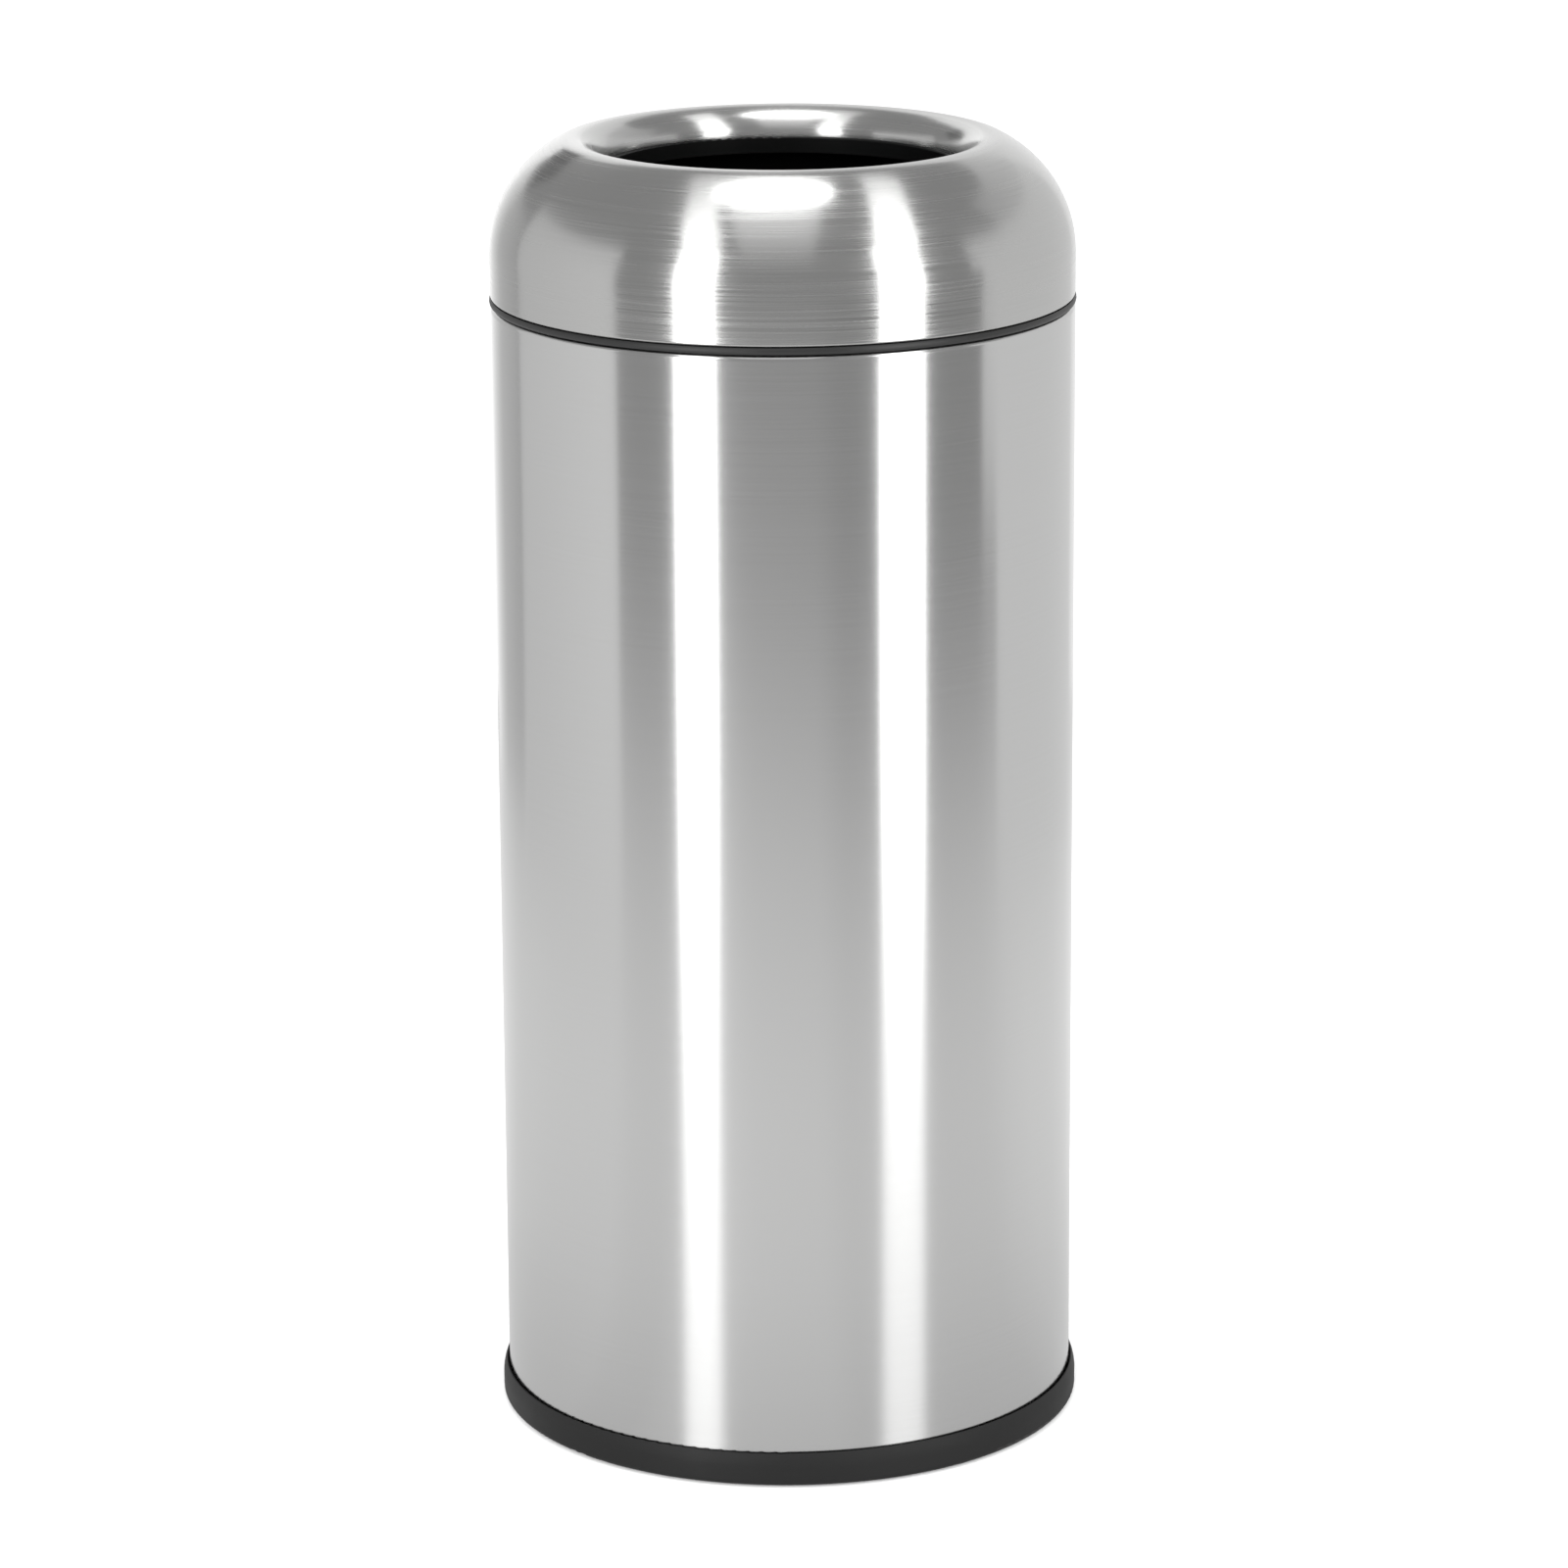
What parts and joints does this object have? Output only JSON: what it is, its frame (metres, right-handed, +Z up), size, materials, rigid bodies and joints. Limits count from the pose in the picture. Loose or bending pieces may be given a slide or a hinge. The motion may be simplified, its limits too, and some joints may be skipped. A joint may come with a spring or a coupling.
{
  "type": "waste container",
  "caption": "Tall round open-top waste bin with a brushed stainless body and lift-off dome lid, a hanging black liner with fold-down wire handles, and a black skirt base on rubber feet.",
  "frame": {"origin": "on the floor, on the bin's upright axis", "axes": "+Z up, -Y towards the side that the picture shows, the body's sheet joint towards +Y, the liner's handles at -X and +X"},
  "size_m": [0.337, 0.337, 0.743],
  "materials": {
    "brushed_stainless": "circumferential satin brushing",
    "galvanised_steel": "hot-dip galvanised",
    "skirt_plastic": "fine moulded grain, black",
    "liner_plastic": "smooth moulded black",
    "lid_plastic": "smooth moulded black",
    "foot_rubber": "matte",
    "zinc_wire": "bright zinc plate",
    "grip_plastic": "moulded black",
    "screw_steel": "zinc plate"
  },
  "bodies": {
    "bin_body": {"outer_shell": "brushed_stainless", "shell_seam_strip": "brushed_stainless", "bottom_plate": "galvanised_steel", "base_ring": "skirt_plastic", "base_ring_screws": "screw_steel", "foot_pad_1": "foot_rubber", "foot_pad_2": "foot_rubber", "foot_pad_3": "foot_rubber", "foot_pad_4": "foot_rubber", "foot_pad_5": "foot_rubber", "foot_pad_6": "foot_rubber"},
    "liner": {"liner_bucket": "liner_plastic"},
    "handle_left": {"handle_wire_left": "zinc_wire", "handle_grip_left": "grip_plastic"},
    "handle_right": {"handle_wire_right": "zinc_wire", "handle_grip_right": "grip_plastic"},
    "lid": {"dome": "brushed_stainless", "dome_inner": "lid_plastic"}
  },
  "joints": [
    {"name": "liner_lift", "type": "slide", "parent": "bin_body", "child": "liner", "axis": [0, 0, 1], "range_m": [0, 0.66]},
    {"name": "lid_lift", "type": "slide", "parent": "liner", "child": "lid", "axis": [0, 0, 1], "range_m": [0, 0.12]},
    {"name": "handle_left_swing", "type": "hinge", "parent": "liner", "child": "handle_left", "pos_m": [-0.141, 0, 0.63], "axis": [0, -1, 0], "range_deg": [0, 180]},
    {"name": "handle_right_swing", "type": "hinge", "parent": "liner", "child": "handle_right", "pos_m": [0.141, 0, 0.63], "axis": [0, 1, 0], "range_deg": [0, 180]}
  ]
}
